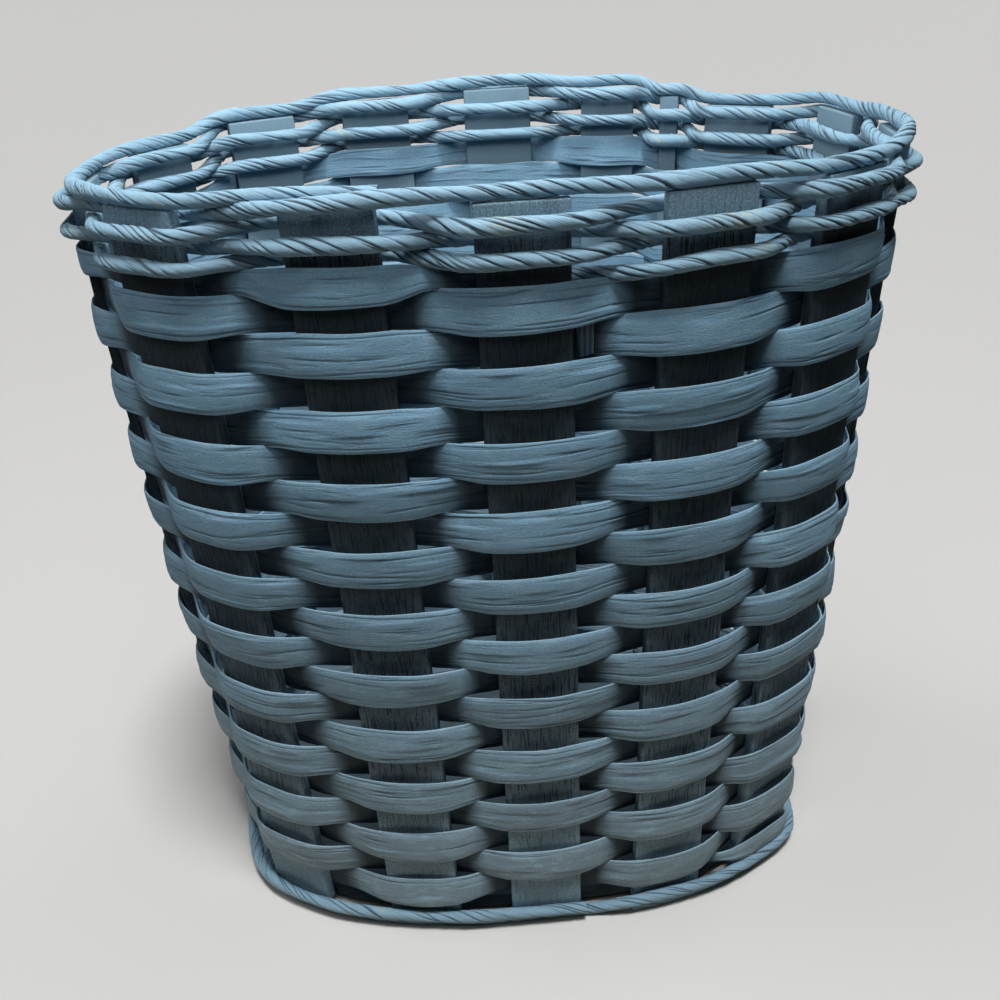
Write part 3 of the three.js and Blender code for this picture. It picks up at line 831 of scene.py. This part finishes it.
class BASKET_OT_side_ribbon(Basket, bpy.types.Operator):
    """Weave the flat creased ribbon round the stakes, in its spliced lengths."""

    bl_idname = "basket.side_ribbon"
    bl_label = "Side ribbon"

    def build(self, context):
        sizes = self.sizes
        material = self.material(paint_on_ribbon)

        def height(number):
            return (row_boundary(sizes, number) + row_boundary(sizes, number + COUNT)) / 2

        knots = self.wall.woven(
            RIBBON_START, RIBBON_END, lambda n: 1 - n % 2 * 2, height,
            sizes.ribbon_thickness / 2, RIBBON_RUN, sizes.ribbon_bow)
        samples, along = flowing(knots, 0.0034, 0.0016)
        points, number, on_stake = samples[:, :3], samples[:, 3], np.clip(samples[:, 4], 0, 1)
        low, high = (
            np.array([row_boundary(sizes, n + turn) for n in number]) for turn in (0, COUNT))
        fit = np.clip((high - low) / sizes.row_climb, 0.15, 1.05)
        half = fit * (sizes.ribbon_nip + (sizes.ribbon_height - sizes.ribbon_nip) * on_stake) / 2
        half += 0.00025 * wander(5, along, 0.05) * fit
        # The first row is puffed on the fifth stake, and the last hangs low on the second.
        lowest = 0.0024 * on_stake * np.exp(-((number - RIBBON_START - 1) / 0.4) ** 2)
        topmost = 0.0018 * on_stake ** 0.5 * np.exp(-((number - RIBBON_END + 1) / 0.58) ** 4)
        half += lowest + topmost
        points[:, 2] += 0.0003 * wander(6, along, 0.06) * fit
        points[:, 2] += 0.45 * lowest - topmost
        pairs = (RIBBON_END - RIBBON_START) / 2 / RIBBON_LENGTHS
        splices = [RIBBON_START + 2 * round(pairs * i) for i in range(RIBBON_LENGTHS)]
        splices.append(RIBBON_END - 0.2)
        for i, (first, last) in enumerate(zip(splices, splices[1:])):
            pick = np.nonzero((number >= first) & (number <= last))[0][min(i, 1):]
            obj = self.strip(
                f"side_ribbon_{i + 1}_strip", i, points[pick], along[pick], half[pick], number[pick])
            finish_piece(obj, material, "painted_ribbon", f"side_ribbon_{i + 1}")
        finish_piece(self.tail(), material, "painted_ribbon", f"side_ribbon_{RIBBON_LENGTHS}")

    def tail(self):
        """Pleated end of a spliced length that hangs beside the third stake, under the top row."""
        top, length, half_width, thickness, pleat = 0.2292, 0.0105, 0.0024, 0.0008, 0.0004
        stake = self.wall.stakes[2]
        middle = stake["width"] / 2 + 0.0032
        down, across = np.linspace(0, 1, 24), np.linspace(-1, 1, 31)
        pleats = pleat * np.abs(np.sin(4.4 * (across + 0.25 * down[:, None])))
        front = np.zeros((len(down), len(across), 3))
        for i, t in enumerate(down):
            for j, a in enumerate(across):
                side = middle + 0.0006 * t + half_width * a * (1 - 0.2 * t)
                front[i, j] = self.wall.beside(
                    stake, top - length * t + 0.0006 * a, side, 0.0006 - 0.001 * t + pleats[i, j], True)
        back = front - np.array([*stake["out"], 0.0]) * thickness
        rings = np.concatenate([front, back[:, ::-1]], 1)
        v = np.concatenate([across, across[::-1], [across[0]]]) * 0.03
        # Painted shade in the pleats' folds
        dark = 1 - pleats / pleat
        flat = np.ones(rings.shape[:2])
        # The whole tail is given painted shade, and none of the greying towards the foot
        return loft(
            "side_ribbon_tail", rings, fold_caps(len(across)), (down * 0.1, v),
            hollow=np.concatenate([dark, dark], 1), sprayed=0.35 * flat, dusty=0 * flat)

    def strip(self, name, seed, points, along, half, number):
        """One length of ribbon: two creased faces joined by rolled edges."""
        out, _ = frames(points)
        up = out * 0.05 + (0, 0, 1)
        up /= np.linalg.norm(up, axis=1)[:, None]
        arc = np.linspace(-math.pi / 2, math.pi / 2, 54) * 0.8
        across = np.sin(arc) / math.sin(arc[-1])
        lift, dark = ribbon_creases(seed + 60, along, across)
        tilt = math.radians(5) * wander(seed + 90, along, 0.07)
        rolled = np.exp(-(((1 - np.abs(across)) / 0.06) ** 2))
        thick = self.sizes.ribbon_thickness / 2 * (0.28 + 0.72 * (1 - np.abs(across) ** 5))
        crown = 0.00022 * (1 - across ** 2)
        ragged = 0.0002 * wander(seed + 120, along, 0.011)[:, None] * (across > 0)
        ragged += 0.0002 * wander(seed + 150, along, 0.013)[:, None] * (across < 0)
        rise = half[:, None] * across + ragged * np.abs(across) ** 6
        outer = lift + thick + crown + tilt[:, None] * rise
        inner = lift * 0.7 - thick + crown + tilt[:, None] * rise
        rings = np.concatenate([
            rings_round(points, out, up, outer, rise),
            rings_round(points, out, up, inner, rise)[:, ::-1]], 1)
        n = len(across)
        width = across * 0.0064
        v = np.concatenate([width, width[::-1] + 0.03, [width[0]]]) * 10 + seed * 1.3
        # Painted shade in the creases, with painted highlight on the rolled edges as negative values
        shade = dark - rolled * (1 - dark) * 0.9
        shade = np.concatenate([shade, shade[:, ::-1]], 1)
        # Painted shade on the ribbon's outer face: none on a stake, dark where it dips behind the next,
        # a little more towards the foot; none on its inner face
        outside = np.clip(0.7 + 2.4 * np.cos(math.pi * number), 0, 1)
        outside *= np.interp(points[:, 2], [0.02, 0.1], [0.85, 1])
        sprayed = np.concatenate([np.repeat(outside[:, None], n, 1), np.ones((len(along), n))], 1)
        # How far towards the foot, for greying the ribbon
        lower = np.repeat(np.interp(points[:, 2], [0.03, 0.2], [1, 0])[:, None], 2 * n, 1)
        return loft(
            name, rings, fold_caps(n), (along * 10, v), hollow=shade, sprayed=sprayed, dusty=lower)


def rope_skin(name, samples, along, radius, lay, seed, slat_shade_and_rope_girth, sprayed, worn=()):
    """Twisted paper rope: helical ridges of uneven width with sharp creases between them.

    The argument after seed is the share of its thickness, the one after that gives how far the rope is
    left without painted shade, 1 for none, and worn is like ROPE_RUBBED."""
    points = samples[:, :3]
    out, up = frames(points)
    around = 56
    angle = np.linspace(0, 2 * math.pi, around, endpoint=False)
    turn = -2 * math.pi * (along + 0.003 * wander(seed + 7, along, 0.05)) / lay
    rng = np.random.default_rng(seed)
    creases = 8
    homes = (np.arange(creases) + rng.uniform(-0.33, 0.33, creases)) / creases * 2 * math.pi
    groove = np.zeros((len(along), around))
    ply = np.zeros_like(groove)
    for j, home in enumerate(homes):
        centre = home + 0.6 * wander(seed * 13 + j, along, 0.014)
        depth = np.clip(0.55 + 0.95 * wander(seed * 17 + j, along, 0.015), 0, 1)
        gap = (angle - centre[:, None] + math.pi) % (2 * math.pi) - math.pi
        groove += depth[:, None] * np.exp(-np.abs(gap / 0.15) ** 1.3)
        ply += depth[:, None] * np.exp(-gap / 0.42) * np.clip(gap / 0.1, 0, 1)
    groove = np.clip(groove, 0, 1)
    turned = angle + turn[:, None]
    swell = 0.09 * wander(seed + 3, along, 0.017) + 0.04 * wander(seed + 5, along, 0.006)
    size = radius * (1 + swell) * slat_shade_and_rope_girth
    oval = 1 + 0.06 * np.cos(2 * (turned - turn[:, None] * 0.3))
    reach = size[:, None] * oval * (1 + 0.12 * np.clip(ply, 0, 1) - 0.22 * groove)
    rings = rings_round(points, out, up, reach * np.cos(turned), reach * np.sin(turned))
    rings[:, :, 2] = np.maximum(rings[:, :, 2], 0.00003)
    rubbed = np.zeros_like(groove)
    for crossing, reach_along in worn:
        rubbed += np.exp(-((samples[:, 3] - crossing) / reach_along) ** 2)[:, None]
    return loft(
        name, rings, [list(range(around))], (along * 10, np.linspace(0, 1, around + 1)),
        # Painted shade down the grooves of the twist
        hollow=np.clip(groove * 1.25 - 0.2, 0, 1), worn=rubbed,
        sprayed=np.broadcast_to(np.reshape(sprayed, (-1, 1)), groove.shape).copy())


class BASKET_OT_rim_rope(Basket, bpy.types.Operator):
    """Weave the twisted rope of the rim, and lay its last turn on top of the stakes."""

    bl_idname = "basket.rim_rope"
    bl_label = "Rim rope"

    def build(self, context):
        sizes, wall = self.sizes, self.wall
        radius = sizes.rope_diameter / 2

        def height(number):
            """The first end is tucked below the ribbon, and the last rises to the stakes' tops."""
            leaving = 0.0022 * risen(number, ROPE_LAST_WOVEN - 0.5, 0.9)
            tucked = 0.003 * (1 - risen(number, ROPE_START + 0.45, 0.4))
            return rope_height(sizes, number) + leaving - tucked

        knots = wall.woven(
            ROPE_START, ROPE_LAST_WOVEN, lambda n: n % 2 * 2 - 1, height, radius, ROPE_RUN,
            ROPE_BOW).tolist()
        *_, (last, across, number) = wall.edges(ROPE_LAST_WOVEN, ROPE_LAST_WOVEN, ROPE_RUN)
        offset = last["thickness"] / 2 + sizes.seat + radius
        knots.append([*wall.beside(last, height(number), across, offset, True), number, 1])
        top = sizes.stake_top + sizes.seat + radius
        for stake, across, number in wall.edges(ROPE_LAST_WOVEN + 1, int(ROPE_END), ROPE_RUN):
            if number <= ROPE_END:
                knots.append([*wall.beside(stake, top, across, 0), number, 1])
        samples, along = flowing(knots, 0.0021, 0.002)
        end = along[-1]
        number = samples[:, 3]
        # Painted shade where the woven rope dips behind a stake; the last turn on top gets none
        sprayed = np.clip(0.55 + 1.1 * np.abs(np.cos(math.pi * number)), 0, 1)
        sprayed[number > ROPE_LAST_WOVEN + 0.4] = 1
        obj = rope_skin(
            "rim_rope_twist", samples, along, radius, sizes.rope_lay, 4,
            np.interp(along, [end - 0.03, end - 0.006, end - 0.002, end], [1, 0.72, 0.8, 0.74]), sprayed,
            ROPE_RUBBED)
        finish_piece(obj, self.material(paint_on_rope), "painted_rope", "rim_rope")


class BASKET_OT_base_rope(Basket, bpy.types.Operator):
    """Lay the twisted rope round the foot: one turn on the floor, one round the stakes' feet."""

    bl_idname = "basket.base_rope"
    bl_label = "Base rope"

    def build(self, context):
        sizes, wall = self.sizes, self.wall
        radius = sizes.rope_diameter / 2
        knots = []
        for stake, across, number in wall.edges(int(FOOT_ROPE_START), int(FOOT_ROPE_END) + 1, ROPE_RUN):
            if FOOT_ROPE_START <= number <= FOOT_ROPE_END:
                upper = risen(number, FOOT_ROPE_STEP_UP, 0.3)
                loose = 1 - risen(number, 2.4, 1)
                height, out = 0.0019 + 0.0038 * upper, 0.0017 + 0.0026 * upper + 0.0022 * loose
                knots.append([*wall.beside(stake, height, across, out), number, 1])
        samples, along = flowing(knots, 0.0016, 0.004)
        # The last argument, 0.52, gives the foot rope painted shade all along, standing in for the
        # wall's shade
        obj = rope_skin(
            "base_rope_twist", samples, along, radius * 0.95, sizes.rope_lay, 21,
            np.interp(along, [0, 0.012], [0.7, 1]), 0.52)
        finish_piece(obj, self.material(paint_on_rope), "painted_rope", "base_rope")


# Stage


class BASKET_OT_stage(Basket, bpy.types.Operator):
    """Add the plain floor, the soft studio light and the camera."""

    bl_idname = "basket.stage"
    bl_label = "Stage"

    def build(self, context):
        self.camera(context)
        self.floor()
        for name, values in SUNS.items():
            self.sun(name, *values)
        for name, values in PANELS.items():
            self.panel(name, *values)
        self.surroundings(context)
        context.scene.view_settings.view_transform = "Standard"

    def surroundings(self, context):
        """A faint even light from all round, which is seen as a plain pale backdrop."""
        world = bpy.data.worlds.new("studio")
        context.scene.world = world
        world.use_nodes = True
        nodes, link = world.node_tree.nodes, world.node_tree.links.new
        nodes.clear()
        mix = nodes.new("ShaderNodeMixShader")
        link(nodes.new("ShaderNodeLightPath").outputs["Is Camera Ray"], mix.inputs[0])
        for slot, colour, strength in ((1, (1, 1, 1, 1), EVEN_LIGHT), (2, BACKDROP, 1)):
            light = nodes.new("ShaderNodeBackground")
            light.inputs["Color"].default_value = colour
            light.inputs["Strength"].default_value = strength
            link(light.outputs[0], mix.inputs[slot])
        link(mix.outputs[0], nodes.new("ShaderNodeOutputWorld").inputs[0])

    def camera(self, context):
        """The camera, which looks down at the front."""
        data = bpy.data.cameras.new("camera")
        data.sensor_width = CAMERA_FILM
        data.lens = CAMERA_LENS
        data.clip_start, data.clip_end = 0.01, 50
        camera = add_object("camera", data)
        yaw, pitch, roll = CAMERA_TURN
        camera.matrix_world = (
            Matrix.Translation(CAMERA_PLACE) @ Matrix.Rotation(-yaw, 4, "Z")
            @ Matrix.Rotation(math.pi / 2 - pitch, 4, "X") @ Matrix.Rotation(roll, 4, "Z"))
        context.scene.camera = camera

    def floor(self):
        """A plain floor, which throws a little warm light back near the basket."""
        clear_selection()
        bpy.ops.mesh.primitive_plane_add(size=24, location=(0, 0, 0))
        obj = context_object("floor")
        f = Finish("floor")
        seen = f.node("LightPath")
        far = f.node("VectorMath", {"operation": "LENGTH"}, {0: f.node("TexCoord", output=3)}, 1)
        warm, dark = (0.5, 0.44, 0.36), (0.03, 0.03, 0.03)
        bounced = f.mix(f.ramp(far, (0.16, 0), (0.32, 1)), warm, dark)
        f.put(f.shader.inputs["Base Color"], f.mix(seen, bounced, self.colours.floor))
        f.shader.inputs["Roughness"].default_value = 0.9
        obj.data.materials.append(f.material)

    def lamp(self, name, kind, strength):
        """A new lamp."""
        lamp = add_object(name, bpy.data.lights.new(name, kind))
        lamp.data.energy = strength
        return lamp

    def sun(self, name, height, turn, width, strength):
        """A wide soft sun, as in SUNS."""
        lamp = self.lamp(name, "SUN", strength)
        lamp.data.angle = math.radians(width)
        up, side = math.radians(height), math.radians(turn)
        towards = Vector((math.cos(up) * math.sin(side), -math.cos(up) * math.cos(side), math.sin(up)))
        lamp.location = towards
        lamp.rotation_euler = towards.to_track_quat("Z", "Y").to_euler()

    def panel(self, name, place, width, tilt, power):
        """A square soft lamp, as in PANELS."""
        lamp = self.lamp(name, "AREA", power)
        lamp.data.size = width
        lamp.location = place
        lamp.rotation_euler = (math.radians(tilt), 0, 0)


class BASKET_PT_panel(bpy.types.Panel):
    """Lists the basket's pieces, sizes and colours."""

    bl_label = "Basket"
    bl_space_type = "VIEW_3D"
    bl_region_type = "UI"
    bl_category = "Basket"

    def draw(self, context):
        column = self.layout.column()
        for operator in OPERATORS:
            column.operator(operator.bl_idname)
        for group in (context.scene.basket_sizes, context.scene.basket_colours):
            for name in group.__annotations__:
                column.prop(group, name, text=name.replace("_", " ").capitalize())


OPERATORS = (
    BASKET_OT_stage, BASKET_OT_board, BASKET_OT_stakes, BASKET_OT_side_ribbon,
    BASKET_OT_rim_rope, BASKET_OT_base_rope,
)
CLASSES = (BasketSizes, BasketColours, *OPERATORS, BASKET_PT_panel)


def register():
    for cls in CLASSES:
        bpy.utils.register_class(cls)
    bpy.types.Scene.basket_sizes = bpy.props.PointerProperty(type=BasketSizes)
    bpy.types.Scene.basket_colours = bpy.props.PointerProperty(type=BasketColours)


def unregister():
    del bpy.types.Scene.basket_colours
    del bpy.types.Scene.basket_sizes
    for cls in reversed(CLASSES):
        bpy.utils.unregister_class(cls)


def main():
    register()
    for operator in OPERATORS:
        getattr(bpy.ops.basket, operator.bl_idname.split(".")[1])()


if __name__ == "__main__":
    main()
